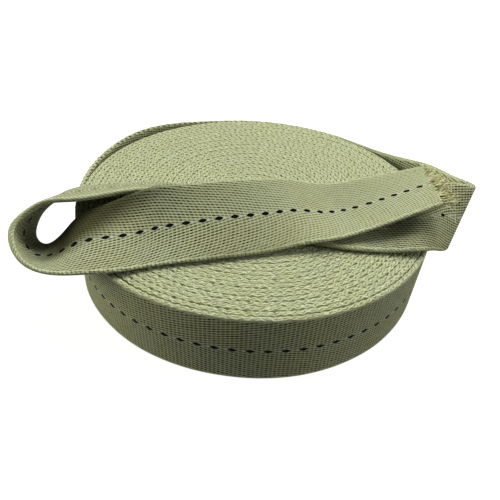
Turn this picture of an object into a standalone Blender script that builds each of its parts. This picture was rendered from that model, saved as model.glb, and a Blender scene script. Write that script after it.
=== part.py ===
"""Roll of heavy cotton webbing, lying flat, with its loose end laid over the top and frayed at the cut.

Metres, +Z up. The origin is the roll's centre on the floor.
"""

import math
from collections import namedtuple

import bmesh
import bpy
import numpy as np
from mathutils import Vector

MM = 0.001

# Driving dimensions, in metres and degrees.
WEBBING_WIDTH = 0.038
WEBBING_THICKNESS = 0.0025
TURN_PITCH = 0.0026
ROLL_RADIUS = 0.0964
LEAVE_ANGLE = 52.4
ROLL_STEPS = 180
RIM_ROUNDING = 0.0008

# How far the wound form is out of round: bearing in degrees, and off the true spiral in mm.
OUT_OF_ROUND = (
    (-165, -0.4), (-150, 0.3), (-120, 1.0), (-95, 1.1), (-75, 1.7), (-50, 1.7), (-28, 0.7), (-12, 0.8),
    (0, 0.6), (20, 0.3), (52.4, 0.0), (64, -0.7), (78, -0.5), (95, 0.3), (112, 0.6), (140, 0.8), (165, 0.3), (180, -0.1),
)

# The gap between the outermost turn and the one inside it, a crescent seen from above:
# bearing in degrees, and how far the outermost turn stands off in mm.
STANDING_OFF = ((104, 0.0), (111, 0.3), (119, 1.3), (129, 3.0), (139, 3.8), (149, 3.3), (160, 2.0), (172, 0.9), (184, 0.3), (195, 0.0))
GAP_FROM = 106.0
GAP_TO = 192.0
GAP_TIP = 0.0004
GAP_STEPS = 48

SECTION_SPACING = 0.0034
SECTION_LEAST = 3
SELVEDGE_ROUNDING = 0.0008

CUT_GAP = 0.0003
BACKING_LENGTH = 0.0013
BACKING_THICKNESS = 0.0018
STRAND_COUNT = 40
STRAND_STEPS = 3

# How the frayed strands fan out, from the lower end of the cut to the upper: lean across, lean up, length.
FAN_SHARES = (0.0, 0.25, 0.5, 0.75, 1.0)
FAN_ACROSS = (-0.22, -0.12, 0.10, 0.36, 0.55)
FAN_UP = (0.02, 0.05, 0.16, 0.62, 0.85)
FAN_LENGTHS = (0.0076, 0.0078, 0.0074, 0.0062, 0.0050)

WEBBING_COLOUR = (0.38, 0.41, 0.24, 1.0)
ROLL_COLOUR = (0.36, 0.39, 0.23, 1.0)
FRINGE_COLOUR = (0.34, 0.35, 0.15, 1.0)

Section = namedtuple("Section", "name x y z bearing rise sag")

# The loose end's course from the roll to its cut end, a row for each section.
# x, y and z are the middle of the webbing in millimetres. The selvedge that is upright at
# the roll lies from the middle at the bearing in plan and at the rise over the floor, in degrees.
# Sag is how far the middle hangs off the line between the two selvedges, in millimetres.
COURSE = (
    Section("leave", 59.0, 75.5, 19.3, 52, 90, 0),
    Section("hug", 77.2, 58.4, 19.9, 38, 89, 0),
    Section("lift_1", 88.8, 43.8, 22.4, 40, 83, 0),
    Section("lift_2", 98.2, 25.6, 27.4, 48, 71, 0),
    Section("lean", 103.2, 3.6, 33.0, 54, 56, 0),
    Section("crease_in", 107.3, -11.5, 37.8, 57, 47, 0),
    Section("crease", 108.2, -16.2, 39.2, 58, 44, 0),
    Section("crease_out", 104.9, -18.8, 40.6, 62, 43, 0),
    Section("fold_1", 97.0, -22.2, 43.5, 75, 37.5, 0),
    Section("fold_2", 80.8, -32.0, 47.1, 83, 18, 0),
    Section("fold_3", 70.2, -32.0, 43.8, 86, 10, 0),
    Section("under_1", 47.0, -31.6, 40.8, 88, 2, 0),
    Section("under_2", 22.0, -27.5, 40.3, 92, 0, 0),
    Section("under_3", -27.0, -22.0, 44.8, 103, -14, 0),
    Section("far_1", -52.4, -18.4, 47.8, 109, -25, 0),
    Section("far_2", -69.5, -23.4, 48.4, 112, -25, 0),
    Section("loop_1", -88.8, -30.4, 48.1, 111, -24, 0),
    Section("loop_2", -99.0, -31.8, 44.9, 111, -30, 0.3),
    Section("loop_3", -106.6, -34.8, 40.0, 110, -34, 0.6),
    Section("loop_4", -109.4, -42.2, 36.6, 105, -37, 0.8),
    Section("loop_5", -107.7, -48.9, 34.7, 103, -36, 1.2),
    Section("loop_6", -98.6, -58.3, 33.4, 101, -27, 1.8),
    Section("loop_7", -84.2, -62.2, 39.1, 103, -7, 1.4),
    Section("near_1", -77.2, -62.0, 43.0, 104, 4, 1.0),
    Section("near_2", -62.4, -59.6, 46.8, 103, 17, 2.0),
    Section("near_3", -53.6, -56.8, 48.2, 101, 25, 4.2),
    Section("near_4", -44.0, -54.2, 50.0, 98, 33, 5.0),
    Section("strip_1", -28.0, -50.0, 50.4, 97, 34, 2.6),
    Section("strip_2", -10.3, -45.6, 50.8, 96, 35, 0.6),
    Section("strip_3", 6.6, -40.0, 50.0, 98, 31, 0.2),
    Section("strip_4", 21.9, -34.3, 49.3, 100, 21, 0.8),
    Section("strip_5", 34.0, -31.4, 48.4, 101, 13, 2.4),
    Section("strip_6", 49.2, -26.2, 48.9, 101, 7, 2.9),
    Section("strip_7", 63.6, -22.6, 52.2, 99, 3, 2.1),
    Section("strip_8", 75.6, -20.0, 55.2, 95, 0, 1.1),
    Section("cut", 87.7, -17.5, 58.2, 90, -1, 0),
)


def clear_scene():
    for ob in list(bpy.data.objects):
        bpy.data.objects.remove(ob, do_unlink=True)


def collection(name):
    made = bpy.data.collections.new(name)
    bpy.context.scene.collection.children.link(made)
    return made


def cloth(name, colour, roughness):
    material = bpy.data.materials.new(name)
    material.use_nodes = True
    shader = material.node_tree.nodes["Principled BSDF"]
    shader.inputs["Base Color"].default_value = colour
    shader.inputs["Roughness"].default_value = roughness
    shader.inputs["Metallic"].default_value = 0.0
    material.diffuse_color = colour
    return material


def object_from(bm, name, group, material=None):
    bmesh.ops.recalc_face_normals(bm, faces=bm.faces)
    mesh = bpy.data.meshes.new(name)
    bm.to_mesh(mesh)
    bm.free()
    ob = bpy.data.objects.new(name, mesh)
    group.objects.link(ob)
    if material:
        mesh.materials.append(material)
    return ob


def bevelled(ob, width, segments, angle):
    rounding = ob.modifiers.new("rounding", "BEVEL")
    rounding.width = width
    rounding.segments = segments
    rounding.limit_method = "ANGLE"
    rounding.angle_limit = math.radians(angle)


def smooth_shaded(ob, angle=50.0):
    ob.data.shade_smooth()
    ob.data.set_sharp_from_angle(angle=math.radians(angle))


def gap_at(angle):
    """How far the outermost turn stands off at this angle, eased between the listed bearings."""
    for (low, least), (high, most) in zip(STANDING_OFF, STANDING_OFF[1:]):
        if low <= angle % 360.0 < high:
            share = (angle % 360.0 - low) / (high - low)
            return (least + (most - least) * share) * MM
    return 0.0


def out_of_round(angle):
    bearings, offs = zip(*OUT_OF_ROUND)
    return float(np.interp(angle, bearings, offs, period=360.0)) * MM


def turn_radius(wound):
    """Outer radius of the outermost turn, this many degrees clockwise of where the loose end leaves."""
    return ROLL_RADIUS - TURN_PITCH * (1.0 - wound / 360.0) + out_of_round(LEAVE_ANGLE - wound)


def at(angle, radius):
    return radius * math.cos(math.radians(angle)), radius * math.sin(math.radians(angle))


def prism(outline, low, high):
    """A flat outline raised between two heights."""
    bm = bmesh.new()
    floor = bm.faces.new([bm.verts.new((x, y, low)) for x, y in outline])
    raised = bmesh.ops.extrude_face_region(bm, geom=[floor])
    top = [v for v in raised["geom"] if isinstance(v, bmesh.types.BMVert)]
    bmesh.ops.translate(bm, verts=top, vec=(0.0, 0.0, high - low))
    return bm


def roll_outline():
    points = []
    for step in range(ROLL_STEPS + 1):
        wound = 360.0 * step / ROLL_STEPS
        angle = (LEAVE_ANGLE - wound) % 360.0
        points.append(at(LEAVE_ANGLE - wound, turn_radius(wound) + gap_at(angle)))
    return points


def gap_outline():
    inner = []
    outer = []
    for step in range(GAP_STEPS + 1):
        angle = GAP_FROM + (GAP_TO - GAP_FROM) * step / GAP_STEPS
        wound = (LEAVE_ANGLE - angle) % 360.0
        radius = turn_radius(wound) - TURN_PITCH
        inner.append(at(angle, radius))
        outer.append(at(angle, radius + max(GAP_TIP, gap_at(angle))))
    return inner + outer[::-1]


def wound_roll(group, cutters, material):
    roll = object_from(prism(roll_outline(), 0.0, WEBBING_WIDTH), "wound_roll", group, material)
    bevelled(roll, RIM_ROUNDING, 2, 60.0)
    cutter = object_from(prism(gap_outline(), -0.002, WEBBING_WIDTH + 0.002), "turn_gap", cutters)
    cutter.hide_render = True
    cutter.display_type = "WIRE"
    parting = roll.modifiers.new("turn gap", "BOOLEAN")
    parting.operation = "DIFFERENCE"
    parting.solver = "EXACT"
    parting.object = cutter
    smooth_shaded(roll)
    return roll


def side_of(section):
    """Unit vector across the webbing, from its middle to the selvedge that is upright at the roll."""
    bearing = math.radians(section.bearing)
    rise = math.radians(section.rise)
    return Vector((math.cos(rise) * math.cos(bearing), math.cos(rise) * math.sin(bearing), math.sin(rise)))


def through(knots, values, places):
    """A natural cubic spline through the values at the knots, read at the places."""
    count = len(knots)
    span = np.diff(knots)
    rows = np.zeros((count, count))
    bends = np.zeros((count, values.shape[1]))
    rows[0, 0] = rows[-1, -1] = 1.0
    for i in range(1, count - 1):
        rows[i, i - 1] = span[i - 1]
        rows[i, i] = 2.0 * (span[i - 1] + span[i])
        rows[i, i + 1] = span[i]
        after = (values[i + 1] - values[i]) / span[i]
        before = (values[i] - values[i - 1]) / span[i - 1]
        bends[i] = 6.0 * (after - before)
    curve = np.linalg.solve(rows, bends)
    found = []
    for place in places:
        i = min(max(int(np.searchsorted(knots, place)) - 1, 0), count - 2)
        a = (knots[i + 1] - place) / span[i]
        b = (place - knots[i]) / span[i]
        line = a * values[i] + b * values[i + 1]
        found.append(line + ((a**3 - a) * curve[i] + (b**3 - b) * curve[i + 1]) * span[i] ** 2 / 6.0)
    return np.array(found)


def course():
    """Middles, side vectors and sags of the loose end's sections, closely spaced along it."""
    middles = np.array([(row.x, row.y, row.z) for row in COURSE]) * MM
    sides = np.array([side_of(row) for row in COURSE])
    sags = np.array([(row.sag,) for row in COURSE]) * MM
    lengths = np.linalg.norm(np.diff(middles, axis=0), axis=1)
    knots = np.concatenate([[0.0], np.cumsum(lengths)])
    places = []
    for start, length in zip(knots, lengths):
        steps = max(SECTION_LEAST, math.ceil(length / SECTION_SPACING))
        places += [start + length * k / steps for k in range(steps)]
    places.append(knots[-1])
    middles = through(knots, middles, places)
    sides = through(knots, sides, places)
    sides /= np.linalg.norm(sides, axis=1)[:, None]
    sags = through(knots, sags, places)[:, 0]
    return [Vector(m) for m in middles], [Vector(s) for s in sides], list(sags)


def hanging(middles, sides, sags):
    """For each section, how its middle is moved off the line between the selvedges."""
    drops = []
    for k, (side, sag) in enumerate(zip(sides, sags)):
        ahead = middles[min(k + 1, len(middles) - 1)] - middles[max(k - 1, 0)]
        drops.append(-ahead.cross(side).normalized() * sag)
    return drops


def loose_end(group, material):
    """The free webbing: a strip through the sections, hollow where it sags, given its thickness both ways."""
    middles, sides, sags = course()
    drops = hanging(middles, sides, sags)
    half = WEBBING_WIDTH / 2.0
    across = (-1.0, -0.5, 0.0, 0.5, 1.0)
    bm = bmesh.new()
    rows = []
    for m, s, drop in zip(middles, sides, drops):
        rows.append([bm.verts.new(m + s * half * a + drop * (1.0 - a * a)) for a in across])
    for near, far in zip(rows, rows[1:]):
        for k in range(len(across) - 1):
            bm.faces.new((near[k], near[k + 1], far[k + 1], far[k]))
    strip = object_from(bm, "loose_end", group, material)
    body = strip.modifiers.new("thickness", "SOLIDIFY")
    body.thickness = WEBBING_THICKNESS
    body.offset = 0.0
    bevelled(strip, SELVEDGE_ROUNDING, 2, 62.0)
    smooth_shaded(strip)
    return strip


def strand_lean(share):
    """Direction of a strand's tip in the cut's own axes: along the webbing, across it and off its face."""
    across = float(np.interp(share, FAN_SHARES, FAN_ACROSS))
    up = float(np.interp(share, FAN_SHARES, FAN_UP))
    return Vector((1.0, across, up)).normalized()


def frayed_end(group, material):
    """Warp ends that stand out of the cut, rooted in a narrow backing strip."""
    middles, sides, _ = course()
    side = sides[-1]
    along = (middles[-1] - middles[-2]).normalized()
    face = along.cross(side).normalized()
    if face.z < 0.0:
        face.negate()
    along = side.cross(face).normalized()
    if along.dot(middles[-1] - middles[-2]) < 0.0:
        along.negate()
    slant = (middles[-1] - middles[-2]).normalized()
    start = middles[-1] + slant * (CUT_GAP + 0.0003)
    cells = 2 * STRAND_COUNT + 1
    half = WEBBING_WIDTH / 2.0 - 0.0004
    low = face * (-BACKING_THICKNESS / 2.0)
    high = face * (BACKING_THICKNESS / 2.0)
    bm = bmesh.new()
    rings = []
    for k in range(cells + 1):
        root = start + side * half * (2.0 * k / cells - 1.0)
        front = root + along * BACKING_LENGTH
        rings.append([bm.verts.new(p) for p in (root + low, root + high, front + high * 0.6, front + low * 0.6)])
    fronts = []
    for a, b in zip(rings, rings[1:]):
        for k in range(4):
            quad = bm.faces.new((a[k], a[(k + 1) % 4], b[(k + 1) % 4], b[k]))
            if k == 2:
                fronts.append(quad)
    bm.faces.new(rings[0][::-1])
    bm.faces.new(rings[-1])
    for k in range(STRAND_COUNT):
        share = (k + 0.5) / STRAND_COUNT
        lean = strand_lean(share)
        length = float(np.interp(share, FAN_SHARES, FAN_LENGTHS))
        length *= 1.0 + 0.12 * math.sin(5.3 * k) + 0.08 * math.sin(11.9 * k)
        tip = 0.88 - 0.12 * math.cos(3.1 * k)
        quad = fronts[2 * k + 1]
        for step in range(STRAND_STEPS):
            bend = (step + 1.0) / STRAND_STEPS
            heading = (Vector((1.0, 0.0, 0.1)).lerp(lean, bend)).normalized()
            move = along * heading.x + side * heading.y + face * heading.z
            made = bmesh.ops.extrude_face_region(bm, geom=[quad])
            top = [v for v in made["geom"] if isinstance(v, bmesh.types.BMVert)]
            bm.faces.remove(quad)
            quad = [f for f in made["geom"] if isinstance(f, bmesh.types.BMFace)][0]
            bmesh.ops.translate(bm, verts=top, vec=move * length / STRAND_STEPS)
            centre = sum((v.co for v in top), Vector()) / len(top)
            for v in top:
                v.co = centre + (v.co - centre) * tip
    strip = object_from(bm, "frayed_end", group, material)
    smooth_shaded(strip)
    return strip


def main():
    clear_scene()
    parts = collection("webbing_roll")
    cutters = collection("cutters")
    wound_roll(parts, cutters, cloth("wound webbing", ROLL_COLOUR, 0.9))
    webbing = cloth("webbing", WEBBING_COLOUR, 0.9)
    loose_end(parts, webbing)
    frayed_end(parts, cloth("frayed yarn", FRINGE_COLOUR, 0.9))


main()
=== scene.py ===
import math
from collections import namedtuple

import bpy
import numpy as np
from mathutils import Matrix, Vector


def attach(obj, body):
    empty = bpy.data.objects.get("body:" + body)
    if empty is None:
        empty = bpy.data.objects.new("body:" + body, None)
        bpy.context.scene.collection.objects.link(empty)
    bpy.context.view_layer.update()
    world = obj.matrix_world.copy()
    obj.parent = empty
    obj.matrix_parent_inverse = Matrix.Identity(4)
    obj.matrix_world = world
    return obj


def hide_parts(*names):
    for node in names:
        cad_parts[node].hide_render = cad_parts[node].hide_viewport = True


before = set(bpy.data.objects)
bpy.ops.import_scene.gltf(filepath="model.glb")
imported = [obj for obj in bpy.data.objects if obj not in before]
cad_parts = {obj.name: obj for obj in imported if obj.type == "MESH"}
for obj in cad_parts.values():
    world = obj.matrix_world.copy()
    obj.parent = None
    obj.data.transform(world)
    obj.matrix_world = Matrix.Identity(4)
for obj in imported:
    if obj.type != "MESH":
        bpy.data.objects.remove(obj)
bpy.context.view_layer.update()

MM = 0.001

# The webbing, in millimetres.
WIDTH = 38.0
THICKNESS = 2.5
PICK = 1.86
WARP_ROW = 1.41
TWILL_STEP = WARP_ROW / 4
TRACER_REPEAT = 4 * PICK
SELVEDGE_REPEAT = 2 * PICK

# Marks of the weave: half their length along the webbing and half their width, in mm.
PIT_HALF = (1.0, 0.43)
SLIT_HALF = (1.3, 0.46)
FOLD_HALF = (1.1, 0.26)
TRACER_HALF = (1.95, 0.98)

# Stretches of the loose webbing, in mm from where it leaves the roll, over which the tracer
# widens and narrows again, the painted shade in the pits fades, and the painted shade in the loop sets in.
TRACER_WIDENS = (310, 335)
TRACER_NARROWS = (385, 402)
PITS_FADE = (435, 510)
TUCKED_FROM = (355, 380)
UNDER_FROM = (392, 410)

# Where the tracer is covered, at the fold over the roll: middle and half length along the webbing, in mm.
COVERED = ((112.0, 10.5), (141.5, 11.5))

# Colours of the cotton and of the yarn ends, in the light and as painted shade in the gaps, and of the
# tracer.
LIGHT = (0.54, 0.588, 0.362, 1.0)
PAINTED_SHADE = (0.026, 0.024, 0.004, 1.0)
YARN_LIGHT = (0.70, 0.70, 0.40, 1.0)
YARN_PAINTED_SHADE = (0.10, 0.10, 0.02, 1.0)
TRACER_BLACK = (0.004, 0.004, 0.003, 1.0)

# The roll: pitch of its turns and its radius in mm, and the bearing where the loose end leaves, in degrees.
PITCH = 2.6
RADIUS = 96.4
LEAVE = 52.4
TURN_THICKNESS = 2.56

# How far the wound turns are out of round: bearing in degrees, off the true spiral in mm.
OUT_OF_ROUND = (
    (-165, -0.4), (-150, 0.3), (-120, 1.0), (-95, 1.1), (-75, 1.7), (-50, 1.7), (-28, 1.0), (-12, 0.8),
    (0, 0.6), (20, 0.3), (52.4, 0.0), (64, -0.7), (78, -0.5), (95, 0.3), (112, 0.6), (140, 0.8),
    (165, 0.3), (180, -0.1),
)

# Where the outermost turn stands off the next: bearing, how far off and how much higher in mm,
# and how many degrees its upper selvedge leans out.
Parting = namedtuple("Parting", "bearing off higher lean")
PARTINGS = (
    Parting(95, 0.0, 0.0, 0.0), Parting(104, 0.0, 0.1, 0.0), Parting(113, 0.5, 0.4, 0.8),
    Parting(121, 1.7, 0.9, 2.5), Parting(130, 3.2, 1.4, 4.5), Parting(139, 3.8, 1.7, 5.5),
    Parting(149, 3.3, 1.4, 5.0), Parting(160, 2.0, 0.9, 3.5), Parting(172, 0.9, 0.4, 1.5),
    Parting(184, 0.3, 0.0, -0.5), Parting(198, 0.0, 0.0, -2.6), Parting(212, 0.1, 0.0, -3.0),
    Parting(225, 0.45, 0.0, -1.0), Parting(240, 0.5, 0.1, 0.0), Parting(252, 0.15, 0.0, 0.0),
    Parting(262, 0.0, 0.0, 0.0),
)

# Half of a selvedge's rounding, from its crest to the face, for a unit half thickness:
# off the middle, below the crest in mm, round the edge from the crest in mm.
Bend = namedtuple("Bend", "off below round")
FACE_EDGE = Bend(1.0, 1.3, 2.15)
FINE_SELVEDGE = (
    Bend(0.0, 0.0, 0.0), Bend(0.45, 0.04, 0.55), Bend(0.8, 0.28, 1.05), Bend(0.97, 0.7, 1.5), FACE_EDGE,
)
THIN_SELVEDGE = (
    Bend(0.0, 0.0, 0.0), Bend(0.28, 0.05, 0.55), Bend(0.52, 0.3, 1.05), Bend(0.78, 0.75, 1.55), FACE_EDGE,
)
TURN_SELVEDGE = (
    Bend(0.0, 0.0, 0.0), Bend(0.5, 0.0, 0.6), Bend(0.92, 0.05, 1.12), Bend(1.0, 0.25, 1.4), FACE_EDGE,
)
PLAIN_SELVEDGE = (Bend(0.0, 0.0, 0.0), Bend(1.0, 0.6, 2.15))
FACE_HALF = WIDTH / 2 - FACE_EDGE.below
ROUND_HALF = 2 * (FACE_HALF + FACE_EDGE.round)

Section = namedtuple("Section", "name x y z bearing rise sag lean")

# The loose end's course, a row for each section: the webbing's middle in mm, and the bearing
# in plan and rise over the floor, in degrees, of the side towards the selvedge that is upright
# at the roll. Sag is how far the middle hangs off the line between the selvedges, and lean how
# far that selvedge is ahead of the other, in mm.
COURSE = (
    Section("wound_1", 43.05, 84.65, 19.3, 52, 90, 0, 0),
    Section("wound_2", 50.85, 80.25, 19.3, 52, 90, 0, 0),
    Section("leave", 58.2, 75.3, 19.3, 52, 90, 0, 0),
    Section("hug", 77.2, 58.4, 19.9, 38, 89, 0, 0),
    Section("lift_1", 88.8, 43.8, 22.4, 40, 83, 0, 0),
    Section("lift_2", 98.2, 25.6, 27.4, 48, 71, 0, 0),
    Section("lean", 103.2, 3.6, 33.0, 54, 56, 0, 0),
    Section("crease_in", 107.3, -11.5, 37.8, 57, 47, 0, 0),
    Section("crease", 108.2, -16.2, 39.2, 58, 44, 0, 0),
    Section("crease_out", 104.9, -18.8, 40.6, 62, 43, 0, 0),
    Section("fold_1", 97.0, -22.2, 43.5, 75, 37.5, 0, 0),
    Section("fold_2", 80.8, -32.0, 47.1, 83, 18, 0, 0),
    Section("fold_3", 70.2, -32.0, 43.8, 86, 10, 0, 0),
    Section("under_1", 47.0, -31.6, 40.8, 88, 2, 0, 0),
    Section("under_2", 22.0, -27.5, 40.3, 92, 0, 0, 0),
    Section("under_3", -27.0, -22.0, 44.8, 103, -14, 0, 0),
    Section("far_1", -52.4, -18.4, 47.8, 109, -25, 0, 0),
    Section("far_2", -69.5, -23.4, 48.4, 112, -25, 0, 0),
    Section("loop_1", -88.8, -30.4, 48.1, 111, -24, 0, 0),
    Section("loop_2", -99.0, -31.8, 44.9, 111, -30, 0.3, 0),
    Section("loop_3", -106.6, -34.8, 40.0, 110, -34, 0.6, 0),
    Section("loop_4", -109.4, -42.2, 36.6, 105, -37, 0.8, 0),
    Section("loop_5", -107.7, -48.9, 34.7, 103, -36, 1.2, 0),
    Section("loop_6", -98.6, -58.3, 33.4, 101, -27, 1.8, 0),
    Section("loop_7", -84.2, -62.2, 39.1, 103, -7, 1.4, 0),
    Section("near_1", -77.2, -62.0, 43.0, 104, 4, 1.0, 0),
    Section("near_2", -62.4, -59.6, 46.8, 103, 17, 2.0, 0),
    Section("near_3", -53.6, -56.8, 48.2, 101, 25, 4.2, 0),
    Section("near_4", -44.0, -54.2, 50.0, 98, 33, 5.0, 0),
    Section("strip_1", -28.0, -50.0, 50.4, 97, 34, 2.6, 1),
    Section("strip_2", -10.3, -45.6, 50.8, 96, 35, 0.6, 2),
    Section("strip_3", 6.6, -40.0, 50.0, 98, 31, 0.2, 3),
    Section("strip_4", 21.9, -34.3, 49.3, 100, 21, 0.8, 5),
    Section("strip_5", 34.0, -31.4, 48.4, 101, 13, 2.4, 8),
    Section("strip_6", 49.2, -26.2, 48.9, 101, 7, 2.9, 12),
    Section("strip_7", 63.6, -22.6, 52.2, 99, 3, 2.1, 14),
    Section("strip_8", 75.6, -20.0, 55.2, 95, 0, 1.1, 12),
    Section("cut", 87.7, -17.5, 58.2, 90, -1, 0, 9),
)

# How far the weave is slid along the loose end so that the tracer's dashes fall where the
# photo has them: distance from where it leaves the roll, and the slide, in mm.
TAKEN_UP = (
    (0, 0.75), (127, -0.6), (290, -0.6), (304, -1.2), (341, -0.4), (349, -1.2), (359, -3.5), (367, -4.4),
    (382, -4.5), (400, -3.8), (418, -3.2), (432, -2.4), (455, -2.4), (480, -1.9), (498, -1.3),
    (505, -0.8), (517, 1.6), (523, 3.0), (531, 3.3), (537, 4.2), (543, 5.3), (550, 6.4), (556, 7.0),
    (563, 7.8),
)


def deselect():
    bpy.ops.object.select_all(action="DESELECT")


def natural_spline(knots, values, places):
    """A natural cubic spline through the values at the knots, read at all the places at once."""
    count = len(knots)
    span = np.diff(knots)
    rows = np.zeros((count, count))
    bends = np.zeros((count, values.shape[1]))
    rows[0, 0] = rows[-1, -1] = 1.0
    for i in range(1, count - 1):
        rows[i, i - 1:i + 2] = span[i - 1], 2 * (span[i - 1] + span[i]), span[i]
        bends[i] = 6 * ((values[i + 1] - values[i]) / span[i] - (values[i] - values[i - 1]) / span[i - 1])
    curve = np.linalg.solve(rows, bends)
    i = np.clip(np.searchsorted(knots, places) - 1, 0, count - 2)
    a = ((knots[i + 1] - places) / span[i])[:, None]
    b = 1 - a
    bend = (a ** 3 - a) * curve[i] + (b ** 3 - b) * curve[i + 1]
    return a * values[i] + b * values[i + 1] + bend * (span[i] ** 2)[:, None] / 6


def unit(vectors):
    return vectors / np.linalg.norm(vectors, axis=1)[:, None]


def run_length(points):
    steps = np.linalg.norm(np.diff(points, axis=0), axis=1)
    return np.concatenate([[0.0], np.cumsum(steps)])


class Run:
    """A stretch of webbing: its middle, its side direction, and how far along it each place is."""

    def __init__(self, middle, side, along, sag=None, thickness=THICKNESS, relief=0.10, slits=0.0):
        self.middle = middle
        self.side = side
        self.along = along
        self.sag = np.zeros(len(middle)) if sag is None else sag
        self.thickness = thickness
        self.relief = relief
        self.slits = slits
        ahead = np.gradient(middle, axis=0)
        self.face = unit(np.cross(ahead, side))


def loose_run(spacing):
    """The loose end from where it leaves the roll to the cut."""
    table = np.array([row[1:] for row in COURSE], float)
    bearing, rise = np.radians(table[:, 3]), np.radians(table[:, 4])
    side = np.stack([np.cos(rise) * np.cos(bearing), np.cos(rise) * np.sin(bearing), np.sin(rise)], axis=1)
    knots = run_length(table[:, :3])
    values = np.concatenate([table[:, :3], side, table[:, 5:]], axis=1)
    start = knots[[row.name for row in COURSE].index("leave")]
    places = np.linspace(start, knots[-1], int((knots[-1] - start) / spacing) + 1)
    found = natural_spline(knots, values, places)
    middle, side = found[:, :3], unit(found[:, 3:6])
    sag, lean = found[:, 6], found[:, 7]
    slid = np.interp(places - start, *zip(*TAKEN_UP))
    upper = run_length(middle + side * WIDTH / 2) + slid + lean / 2
    lower = run_length(middle - side * WIDTH / 2) + slid - lean / 2
    centre = run_length(middle) + slid
    return Run(middle, side, np.stack([lower, centre, upper]), sag)


def parted(bearing):
    """How far off, how much higher and how far leaning the outermost turn is, a row for each bearing."""
    table = np.array(PARTINGS, float)
    found = natural_spline(table[:, 0], table[:, 1:], np.clip(bearing, table[0, 0], table[-1, 0]))
    return np.where(((bearing > table[0, 0]) & (bearing < table[-1, 0]))[:, None], found, 0.0)


def turn_height(wound):
    """How high the middle of the inner turns stands, each a little off the next, in mm."""
    height = WIDTH / 2 + 0.26 + 0.16 * np.sin(wound / 57 + 1.1) + 0.05 * np.sin(wound / 23.7)
    return height + 0.07 * np.sin(wound / 360 * 2.39)


def wound_run(first, last, spacing, outermost=False):
    """Turns of the roll between two angles, counted clockwise from where the outermost turn begins."""
    middle_radius = RADIUS - PITCH + PITCH * (first + last) / 720
    steps = int(math.radians(last - first) * middle_radius / spacing) + 1
    wound = np.linspace(first, last, steps + 1)
    angle = np.radians(LEAVE - wound)
    bearing = np.degrees(angle) % 360
    leave_radius = RADIUS - PITCH * 0.5
    radius = RADIUS - PITCH * 1.5 + PITCH * wound / 360
    along = np.radians(wound) * (radius + leave_radius) / 2
    radius = radius * (1 + np.interp(bearing, *zip(*OUT_OF_ROUND), period=360) / RADIUS)
    if outermost:
        off, higher, lean = parted(bearing).T
        radius = radius + off
        height = WIDTH / 2 + 0.3 - 0.14 * np.sin(wound / 64) + higher
        lean = np.radians(lean)
        side = np.stack([np.sin(lean) * np.cos(angle), np.sin(lean) * np.sin(angle), np.cos(lean)], axis=1)
    else:
        radius = radius + 0.05 * np.sin(angle * 5 + wound / 91)
        height = turn_height(wound)
        side = np.tile([0.0, 0.0, 1.0], (steps + 1, 1))
    middle = np.stack([radius * np.cos(angle), radius * np.sin(angle), height], axis=1)
    along = along - math.radians(360) * leave_radius + TAKEN_UP[0][1]
    return Run(middle, side, np.stack([along] * 3), thickness=TURN_THICKNESS, relief=0.2, slits=0.5)


def section_points(columns, upper, lower):
    """Round the webbing's section, from the lower crest up the outer face and down the inner one.

    Each point has its place across, through and round the section, and how far it is a corner.
    """
    points = []
    for face in (-1, 1):
        half = []
        for bend in lower:
            half.append((-(WIDTH / 2 - bend.below), face * bend.off, bend.round))
        for k in range(1, columns):
            across = FACE_HALF * (2 * k / columns - 1)
            half.append((across, face, across + ROUND_HALF / 2))
        for bend in reversed(upper):
            half.append((WIDTH / 2 - bend.below, face * bend.off, ROUND_HALF - bend.round))
        if face > 0:
            half = [(a, b, 2 * ROUND_HALF - c) for a, b, c in reversed(half)]
        points += half if face < 0 else half[1:]
    return np.array(points)


def selvedge_loops(run, along, across, through):
    """Where the weft's loops, the slits between them and a slow wave put each point, across and through."""
    crest = np.clip((across - FACE_HALF) / FACE_EDGE.below, 0, 1)
    turn = 2 * math.pi * along / SELVEDGE_REPEAT
    wave = np.sin(turn + 0.9) + 0.5 * np.sin(along * 0.61) + 0.4 * np.sin(along * 1.07 + 2)
    loop = 0.5 - 0.5 * np.cos(turn + 1.2 * through)
    parting = np.clip(0.2 + np.cos(turn), 0, 1) * np.clip(through * 2.2 - 1.1, 0, 1)
    out = across - (run.relief * loop + run.slits * parting) * crest
    return out, through + run.slits * 0.42 * wave * crest


def woven_strip(name, run, columns, upper, lower, material):
    """A grid wrapped round the webbing's section and laid along the run, closed at both ends."""
    section = section_points(columns, upper, lower)
    stations, around = len(run.middle), len(section)
    deselect()
    bpy.ops.mesh.primitive_grid_add(x_subdivisions=around - 1, y_subdivisions=stations - 1, size=1)
    strip = bpy.context.object
    strip.name = name
    strip.data.name = name
    across, through, rounded = section.T
    share = across / (WIDTH / 2)
    low, mid, high = run.along[:, :, None]
    along = low * share * (share - 1) / 2 + mid * (1 - share ** 2) + high * share * (share + 1) / 2
    out, off = selvedge_loops(run, along, across, through)
    sag = run.sag[:, None] * (1 - share ** 2)
    half = run.thickness / 2
    place = run.middle[:, None] + run.side[:, None] * out[:, :, None]
    place = place + run.face[:, None] * (off * half - sag)[:, :, None]
    strip.data.vertices.foreach_set("co", (place * MM).astype(np.float32).ravel())
    ids = np.empty(len(strip.data.loops), np.int32)
    strip.data.loops.foreach_get("vertex_index", ids)
    uv = np.stack([along.ravel(), np.tile(rounded, stations)], axis=1)[ids]
    strip.data.uv_layers.active.name = "weave"
    strip.data.uv_layers.active.data.foreach_set("uv", uv.astype(np.float32).ravel())
    close_tube()
    strip.data.materials.append(material)
    bpy.ops.object.shade_smooth_by_angle(angle=math.radians(60))
    return strip


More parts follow.
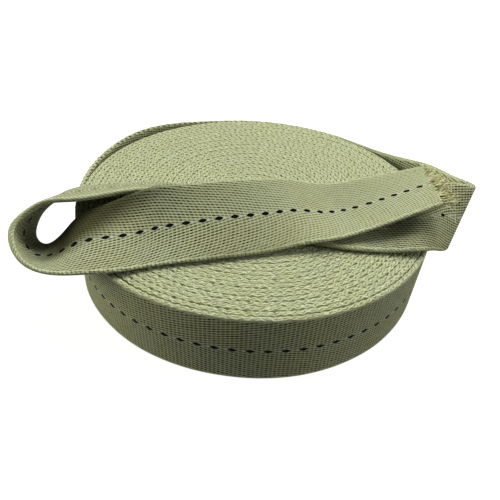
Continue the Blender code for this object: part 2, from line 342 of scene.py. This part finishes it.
def close_tube():
    """Joins the active grid's seam, fills its two ends and turns its faces outwards."""
    bpy.ops.object.mode_set(mode="EDIT")
    bpy.ops.mesh.select_all(action="SELECT")
    bpy.ops.mesh.remove_doubles(threshold=0.00001)
    bpy.ops.mesh.select_all(action="DESELECT")
    bpy.ops.mesh.select_non_manifold(
        extend=False, use_wire=False, use_multi_face=False, use_non_contiguous=False, use_verts=False,
    )
    bpy.ops.mesh.fill_holes(sides=0)
    bpy.ops.mesh.select_all(action="SELECT")
    bpy.ops.mesh.normals_make_consistent(inside=False)
    bpy.ops.object.mode_set(mode="OBJECT")


class Nodes:
    """Short hand for a material's node tree."""

    def __init__(self, name, rough):
        self.material = bpy.data.materials.new(name)
        self.material.use_nodes = True
        self.tree = self.material.node_tree
        self.shader = self.tree.nodes["Principled BSDF"]
        self.shader.inputs["Roughness"].default_value = rough
        self.shader.inputs["Specular IOR Level"].default_value = 0.06

    def put(self, value, socket):
        if isinstance(value, bpy.types.NodeSocket):
            self.tree.links.new(value, socket)
        else:
            socket.default_value = value

    def math(self, operation, *values):
        node = self.tree.nodes.new("ShaderNodeMath")
        node.operation = operation
        for value, socket in zip(values, node.inputs):
            self.put(value, socket)
        return node.outputs[0]

    def plus(self, first, second):
        return self.math("ADD", first, second)

    def minus(self, first, second):
        return self.math("SUBTRACT", first, second)

    def times(self, first, second):
        return self.math("MULTIPLY", first, second)

    def larger(self, first, second):
        return self.math("MAXIMUM", first, second)

    def size_of(self, value):
        return self.math("ABSOLUTE", value)

    def ramp(self, value, low, high, to_low=0.0, to_high=1.0):
        node = self.tree.nodes.new("ShaderNodeMapRange")
        node.interpolation_type = "SMOOTHSTEP"
        for number, socket in zip((value, low, high, to_low, to_high), node.inputs):
            self.put(number, socket)
        return node.outputs[0]

    def mix(self, share, first, second):
        node = self.tree.nodes.new("ShaderNodeMix")
        node.data_type = "RGBA"
        self.put(share, node.inputs[0])
        self.put(first, node.inputs[6])
        self.put(second, node.inputs[7])
        return node.outputs[2]

    def noise(self, vector, scale, detail=2.0, rough=0.5):
        node = self.tree.nodes.new("ShaderNodeTexNoise")
        node.inputs["Scale"].default_value = scale
        node.inputs["Detail"].default_value = detail
        node.inputs["Roughness"].default_value = rough
        self.put(vector, node.inputs["Vector"])
        return node.outputs["Fac"]

    def joined(self, x, y, z=0.0):
        node = self.tree.nodes.new("ShaderNodeCombineXYZ")
        for value, socket in zip((x, y, z), node.inputs):
            self.put(value, socket)
        return node.outputs[0]

    def weave_place(self):
        node = self.tree.nodes.new("ShaderNodeUVMap")
        node.uv_map = "weave"
        split = self.tree.nodes.new("ShaderNodeSeparateXYZ")
        self.put(node.outputs[0], split.inputs[0])
        return split.outputs[0], split.outputs[1]

    def object_place(self):
        return self.tree.nodes.new("ShaderNodeTexCoord").outputs["Object"]

    def bumped(self, height, distance):
        node = self.tree.nodes.new("ShaderNodeBump")
        node.inputs["Distance"].default_value = distance
        self.put(height, node.inputs["Height"])
        self.put(node.outputs[0], self.shader.inputs["Normal"])

    def nearest(self, value, step):
        """The multiple of step that is nearest, and how far the value is from it."""
        count = self.math("FLOOR", self.plus(self.math("DIVIDE", value, step), 0.5))
        return count, self.minus(value, self.times(count, step))

    def oval(self, x, y, half_x, half_y):
        """Distance from an oval's middle, 1 on its edge."""
        across = self.math("POWER", self.math("DIVIDE", x, half_x), 2.0)
        up = self.math("POWER", self.math("DIVIDE", y, half_y), 2.0)
        return self.math("SQRT", self.plus(across, up))


def pits_and_ribs(cloth, along, across, body):
    """The pit at each pick of each warp row, the ribs along the webbing, and how deep each pit is."""
    pick, off_pick = cloth.nearest(along, PICK)
    slant = cloth.times(cloth.math("SIGN", across), TWILL_STEP / PICK)
    row, off_row = cloth.nearest(cloth.plus(across, cloth.times(along, slant)), WARP_ROW)
    pit = cloth.ramp(cloth.oval(off_pick, off_row, *PIT_HALF), 0.7, 1.12, 1.0, 0.0)
    rib = cloth.math("COSINE", cloth.times(off_row, 2 * math.pi / WARP_ROW))
    fleck = cloth.noise(cloth.joined(pick, row), 1.7, 0.0)
    return cloth.times(pit, body), cloth.times(rib, body), cloth.ramp(fleck, 0.3, 0.7, 0.8, 1.0)


def wound_slits(cloth, along, from_crest):
    """The dark slits between the weft's loops and the folds over them, as the roll shows them from above."""
    stitch, off_stitch = cloth.nearest(along, SELVEDGE_REPEAT)
    uneven = cloth.noise(cloth.joined(cloth.times(stitch, 0.77), 0.0), 1.0, 1.0)
    moved = cloth.times(cloth.minus(uneven, 0.5), 2.2)
    first = cloth.plus(off_stitch, moved)
    slit = cloth.minus(from_crest, cloth.plus(cloth.times(first, 0.16), 1.1))
    slit = cloth.ramp(cloth.oval(first, slit, *SLIT_HALF), 0.65, 1.12, 1.0, 0.0)
    slit = cloth.times(slit, cloth.ramp(uneven, 0.3, 0.6, 0.55, 1.0))
    second = cloth.nearest(cloth.plus(along, SELVEDGE_REPEAT / 2), SELVEDGE_REPEAT)[1]
    second = cloth.minus(second, moved)
    fold = cloth.plus(from_crest, cloth.plus(cloth.times(second, 0.3), 0.1))
    fold = cloth.ramp(cloth.oval(second, fold, *FOLD_HALF), 0.5, 1.25, 0.6, 0.0)
    return cloth.larger(slit, fold)


def loose_knots(cloth, along, edge, from_crest):
    """Small dark ticks between the knots of the loose webbing's selvedges."""
    knot = cloth.times(along, 4 * math.pi / SELVEDGE_REPEAT)
    knot = cloth.math("COSINE", cloth.plus(knot, cloth.times(from_crest, 2.2)))
    near_edge = cloth.ramp(edge, FACE_HALF, FACE_HALF + 0.5, 0.0, 0.6)
    return cloth.times(cloth.ramp(knot, 0.35, 0.95), near_edge)


def tracer_yarn(cloth, along, across, wound):
    """Where the black tracer shows, and how far each place is from its nearest dash."""
    off_dash = cloth.nearest(along, TRACER_REPEAT)[1]
    half_length, half_width = TRACER_HALF
    end = cloth.math("POWER", cloth.math("DIVIDE", cloth.size_of(off_dash), half_length), 1.6)
    side = cloth.minus(across, cloth.times(off_dash, 0.05))
    if not wound:
        widened = cloth.ramp(along, *TRACER_WIDENS, 1.0, 0.6)
        side = cloth.times(side, cloth.larger(cloth.ramp(along, *TRACER_NARROWS, 0.6, 1.0), widened))
    side = cloth.math("POWER", cloth.math("DIVIDE", cloth.size_of(side), half_width), 1.6)
    from_dash = cloth.plus(end, side)
    shown = cloth.ramp(from_dash, 0.85, 1.15, 1.0, 0.0)
    if not wound:
        for middle, half in COVERED:
            off_middle = cloth.size_of(cloth.minus(along, middle))
            shown = cloth.times(shown, cloth.math("GREATER_THAN", off_middle, half))
    return shown, from_dash


def painted_loop_shade(cloth, along, across, rounded):
    """Painted shade where the loose webbing is tucked under the loop's far side, and on its underside there.
    """
    tucked = cloth.minus(across, cloth.times(cloth.minus(along, 389), 0.4))
    tucked = cloth.times(cloth.ramp(tucked, -7, 6), cloth.ramp(along, *TUCKED_FROM))
    tucked = cloth.times(tucked, cloth.math("GREATER_THAN", rounded, ROUND_HALF))
    under = cloth.times(cloth.ramp(rounded, 0.3, 1.1), cloth.ramp(rounded, 5, 12, 1.0, 0.0))
    under = cloth.times(under, cloth.ramp(along, *UNDER_FROM))
    return cloth.larger(cloth.times(tucked, 0.88), cloth.times(under, 0.98))


def cotton_tones(cloth, along, across, fibre):
    """The cotton's light colour, with broad warm patches and fine pale fibres."""
    broad = cloth.noise(cloth.joined(cloth.times(along, 0.045), cloth.times(across, 0.05)), 1.0, 3.0, 0.6)
    warm = tuple(c * f for c, f in zip(LIGHT[:3], (1.0, 0.93, 0.78))) + (1.0,)
    pale = tuple(min(1.0, c * 1.16) for c in LIGHT[:3]) + (1.0,)
    base = cloth.mix(cloth.ramp(broad, 0.35, 0.7), LIGHT, warm)
    return cloth.mix(cloth.ramp(fibre, 0.35, 0.75), base, pale)


def webbing_cloth(name, wound):
    """Heavy cotton webbing: ribs along it with a pit at each pick, a black tracer yarn and firm selvedges.

    The UV map gives millimetres along the webbing and round its section. Pits, slits and grooves are
    darkened as painted shade. The wound webbing has the slits that show from above, and the loose
    webbing its own selvedge, tracer and painted shade in the loop.
    """
    cloth = Nodes(name, 0.92)
    along, rounded = cloth.weave_place()
    across = cloth.minus(cloth.math("PINGPONG", rounded, ROUND_HALF), ROUND_HALF / 2)
    edge = cloth.size_of(across)
    body = cloth.ramp(edge, FACE_HALF - 0.5, FACE_HALF + 0.1, 1.0, 0.0)
    crest = cloth.ramp(edge, FACE_HALF + 0.2, FACE_HALF + 0.8)
    inner_face = cloth.times(cloth.math("GREATER_THAN", rounded, ROUND_HALF), 2.0)
    from_crest = cloth.times(cloth.minus(ROUND_HALF / 2, edge), cloth.minus(inner_face, 1.0))

    pit, rib, strong = pits_and_ribs(cloth, along, across, body)
    if wound:
        holes = cloth.times(wound_slits(cloth, along, from_crest), crest)
    else:
        holes = loose_knots(cloth, along, edge, from_crest)
        strong = cloth.times(strong, cloth.ramp(along, *PITS_FADE, 1.0, 0.75))
    holes = cloth.larger(pit, holes)
    streak = cloth.noise(cloth.joined(cloth.times(along, 0.42), cloth.times(rounded, 1.5)), 1.0, 1.0)
    streak = cloth.times(cloth.ramp(streak, 0.35, 0.65, -1.0, 1.0), crest)
    fibre = cloth.noise(cloth.joined(cloth.times(along, 2.4), cloth.times(across, 6.0)), 1.0, 2.0, 0.6)
    tracer, from_dash = tracer_yarn(cloth, along, across, wound)
    beside = cloth.ramp(from_dash, 1.3, 2.6, 0.35, 0.0)
    channel = cloth.ramp(edge, 0.3, 0.9, 0.22, 0.0)

    greyed = (LIGHT[0] * 1.1, LIGHT[1] * 1.06, LIGHT[2] * 1.3, 1.0)
    base = cotton_tones(cloth, along, across, fibre)
    # Painted shade: darker in the grooves between the ribs, in the streaks' lows, and in the pits, slits and
    # knot gaps.
    base = cloth.mix(cloth.ramp(rib, -0.4, 0.9, 0.22, 0.0), base, PAINTED_SHADE)
    base = cloth.mix(cloth.ramp(streak, 0.0, -0.9, 0.0, 0.22), base, PAINTED_SHADE)
    base = cloth.mix(cloth.times(holes, strong), base, PAINTED_SHADE)
    base = cloth.mix(cloth.larger(channel, beside), base, greyed)
    if not wound:
        # Painted shade where the loose webbing tucks under the loop and on its underside.
        base = cloth.mix(painted_loop_shade(cloth, along, across, rounded), base, PAINTED_SHADE)
    base = cloth.mix(tracer, base, TRACER_BLACK)
    cloth.put(base, cloth.shader.inputs["Base Color"])

    height = cloth.minus(cloth.times(rib, 0.25), cloth.times(holes, 0.9))
    height = cloth.plus(height, cloth.times(streak, 0.45))
    height = cloth.plus(height, cloth.times(tracer, 0.5))
    height = cloth.plus(height, cloth.times(fibre, 0.35))
    cloth.bumped(height, 0.0005)
    return cloth.material


def yarn_cloth(name):
    """Loose cotton yarn, streaked along its length with painted shade for the gaps between strands."""
    yarn = Nodes(name, 0.95)
    streaks = yarn.tree.nodes.new("ShaderNodeMapping")
    streaks.inputs["Scale"].default_value = (160, 1500, 1500)
    yarn.put(yarn.object_place(), streaks.inputs["Vector"])
    tone = yarn.noise(streaks.outputs[0], 1.0, 2.0, 0.6)
    # Painted shade: the darker streaks stand for the gaps between the strands.
    yarn.put(yarn.mix(yarn.ramp(tone, 0.36, 0.56), YARN_PAINTED_SHADE, YARN_LIGHT), yarn.shader.inputs["Base Color"])
    yarn.bumped(tone, 0.0002)
    return yarn.material


# How the frayed yarns fan out, from the lower end of the cut to the upper: lean across,
# lean up and length in mm. Below: how many yarns and tufts, a yarn's radius in mm and its bends.
Fan = namedtuple("Fan", "share across up length")
FANS = (
    Fan(0.0, -0.1, -0.2, 8.6), Fan(0.25, 0.35, 0.15, 9.0), Fan(0.5, 0.6, 0.15, 8.4),
    Fan(0.75, 0.9, 0.5, 5.6), Fan(0.9, 0.7, 0.4, 3.6), Fan(1.0, 0.3, 0.1, 2.2),
)
STRAYS = (Fan(0.01, -0.45, -0.30, 8.0), Fan(-0.01, -1.65, -1.35, 10.5))
YARN_COUNT = 210
TUFT_COUNT = 31
YARN_RADIUS = 0.23
YARN_STEPS = 5


def fanned_yarns(rng):
    """The fringe's yarns in small tufts, then the two that stray, each with its place, lean and length."""
    table = np.array(FANS)
    tufts = rng.normal(0, 0.11, (TUFT_COUNT, 3))
    fans = []
    for k in range(YARN_COUNT):
        share = min(max((k + 0.5) / YARN_COUNT + rng.normal(0, 0.006), 0.003), 0.997)
        across, up, length = (np.interp(share, table[:, 0], table[:, i]) for i in (1, 2, 3))
        tuft = tufts[int(share * (TUFT_COUNT - 0.01))]
        across += tuft[0] * 1.4 + rng.normal(0, 0.1)
        up += tuft[1] + rng.normal(0, 0.12)
        fans.append(Fan(share, across, up, length * (1 + tuft[2] * 0.8 + rng.normal(0, 0.09))))
    return fans + list(STRAYS)


def frayed_yarns(name, run, material):
    """Yarn ends standing out of the cut, as fine round strands."""
    root, side, face = run.middle[-1], run.side[-1], run.face[-1]
    ahead = unit(np.cross(side, face)[None])[0]
    rng = np.random.default_rng(7)
    deselect()
    bpy.ops.curve.primitive_bezier_curve_add()
    fringe = bpy.context.object
    fringe.name = name
    curve = fringe.data
    curve.splines.clear()
    curve.bevel_depth = YARN_RADIUS * MM
    curve.bevel_resolution = 0
    curve.use_fill_caps = True
    for fan in fanned_yarns(rng):
        lean = np.array([1.0, fan.across, fan.up])
        lean /= np.linalg.norm(lean)
        start = root + side * (WIDTH - 1.4) * (fan.share - 0.5) + face * rng.uniform(-0.7, 1.25)
        start = start - ahead * rng.uniform(0.4, 2.2)
        bow = rng.normal(0, 0.35, 2)
        spline = curve.splines.new("POLY")
        spline.points.add(YARN_STEPS)
        for step in range(YARN_STEPS + 1):
            t = step / YARN_STEPS
            heading = np.array([1.0, 0.0, 0.05]) * (1 - t) + lean * t
            heading /= np.linalg.norm(heading)
            reach = heading * fan.length * t + np.array([0, bow[0], bow[1]]) * math.sin(math.pi * t)
            spot = start + ahead * reach[0] + side * reach[1] + face * reach[2]
            spline.points[step].co = (*(spot * MM), 1.0)
            spline.points[step].radius = 1.0 - 0.4 * t
    bpy.ops.object.convert(target="MESH")
    fringe = bpy.context.object
    fringe.data.name = name
    fringe.data.materials.append(material)
    bpy.ops.object.shade_smooth()
    return fringe


# The camera: its place in metres, how far it looks down, turns and rolls in degrees, and its lens in mm.
CAMERA_PLACE = (-0.0001, -0.215, 0.1684)
LOOKS_DOWN = 38.75
TURNS = -0.06
ROLLS = 3.42
LENS = 32.4

# The lights: place and size in metres, power in watts, colour. All aim at the same spot.
Light = namedtuple("Light", "name place size power colour")
LIGHTS = (
    Light("soft_back", (0.10, 0.42, 0.90), 0.85, 14.6, (1.0, 1.0, 1.0)),
    Light("low_left", (-0.85, -0.06, 0.2), 0.4, 5.0, (1.0, 0.97, 0.82)),
    Light("low_right", (0.85, -0.10, 0.3), 0.4, 3.0, (1.0, 0.98, 0.9)),
)
LIGHTS_AIM = (0, 0, 0.02)
FLOOR_GREY = 0.22
FLOOR_GLOW = 0.93
ROOM_GLOW = 0.18


def set_camera():
    pitch, yaw, roll = math.radians(LOOKS_DOWN), math.radians(TURNS), math.radians(ROLLS)
    level = Matrix(((1, 0, 0), (0, math.sin(pitch), math.cos(pitch)), (0, math.cos(pitch), -math.sin(pitch))))
    turn = Matrix(((math.cos(yaw), 0, -math.sin(yaw)), (0, 1, 0), (math.sin(yaw), 0, math.cos(yaw))))
    tilt = Matrix(((math.cos(roll), math.sin(roll), 0), (-math.sin(roll), math.cos(roll), 0), (0, 0, 1)))
    right, up, ahead = tilt @ turn @ level
    deselect()
    bpy.ops.object.camera_add(location=CAMERA_PLACE)
    camera = bpy.context.object
    camera.rotation_euler = Matrix((right, up, -ahead)).transposed().to_euler()
    camera.data.sensor_width = 36
    camera.data.lens = LENS
    camera.data.clip_start = 0.01
    bpy.context.scene.camera = camera


def area_light(row):
    deselect()
    bpy.ops.object.light_add(type="AREA", location=row.place)
    light = bpy.context.object
    light.name = row.name
    light.data.shape = "DISK"
    light.data.size = row.size
    light.data.energy = row.power
    light.data.color = row.colour
    heading = Vector(LIGHTS_AIM) - Vector(row.place)
    light.rotation_euler = heading.to_track_quat("-Z", "Y").to_euler()


def set_stage():
    """A pale floor that glows a little, the lights and a dim even room."""
    deselect()
    bpy.ops.mesh.primitive_plane_add(size=6, location=(0, 0, -0.0004))
    floor = bpy.context.object
    floor.name = "floor"
    paper = Nodes("pale_floor", 0.9)
    paper.shader.inputs["Base Color"].default_value = (FLOOR_GREY, FLOOR_GREY, FLOOR_GREY, 1)
    paper.shader.inputs["Emission Color"].default_value = (1, 1, 1, 1)
    paper.shader.inputs["Emission Strength"].default_value = FLOOR_GLOW
    floor.data.materials.append(paper.material)
    floor.visible_diffuse = False
    for row in LIGHTS:
        area_light(row)
    scene = bpy.context.scene
    world = bpy.data.worlds.new("soft_room")
    scene.world = world
    world.use_nodes = True
    background = world.node_tree.nodes["Background"]
    background.inputs["Color"].default_value = (1, 1, 1, 1)
    background.inputs["Strength"].default_value = ROOM_GLOW
    scene.view_settings.view_transform = "Standard"


set_camera()
set_stage()

webbing = webbing_cloth("webbing", wound=False)
wound_webbing = webbing_cloth("wound_webbing", wound=True)
frayed_yarn = yarn_cloth("frayed_yarn")

loose = loose_run(0.62)
ribbon = woven_strip("loose_ribbon", loose, 14, THIN_SELVEDGE, THIN_SELVEDGE, webbing)
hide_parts("loose_end")
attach(ribbon, "root")

fringe = frayed_yarns("frayed_yarns", loose, frayed_yarn)
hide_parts("frayed_end")
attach(fringe, "root")

run = wound_run(0, 360, 0.53, outermost=True)
outermost = woven_strip("outermost_turn", run, 16, FINE_SELVEDGE, FINE_SELVEDGE, wound_webbing)
turns = [outermost]
for name, outer, inner in (("outer_turns", 0, 7), ("middle_turns", 7, 16), ("inner_turns", 16, 34.4)):
    run = wound_run(-360 * inner, -360 * outer, 0.6)
    turns.append(woven_strip(name, run, 1, TURN_SELVEDGE, PLAIN_SELVEDGE, wound_webbing))
for piece in turns:
    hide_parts("wound_roll")
    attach(piece, "root")
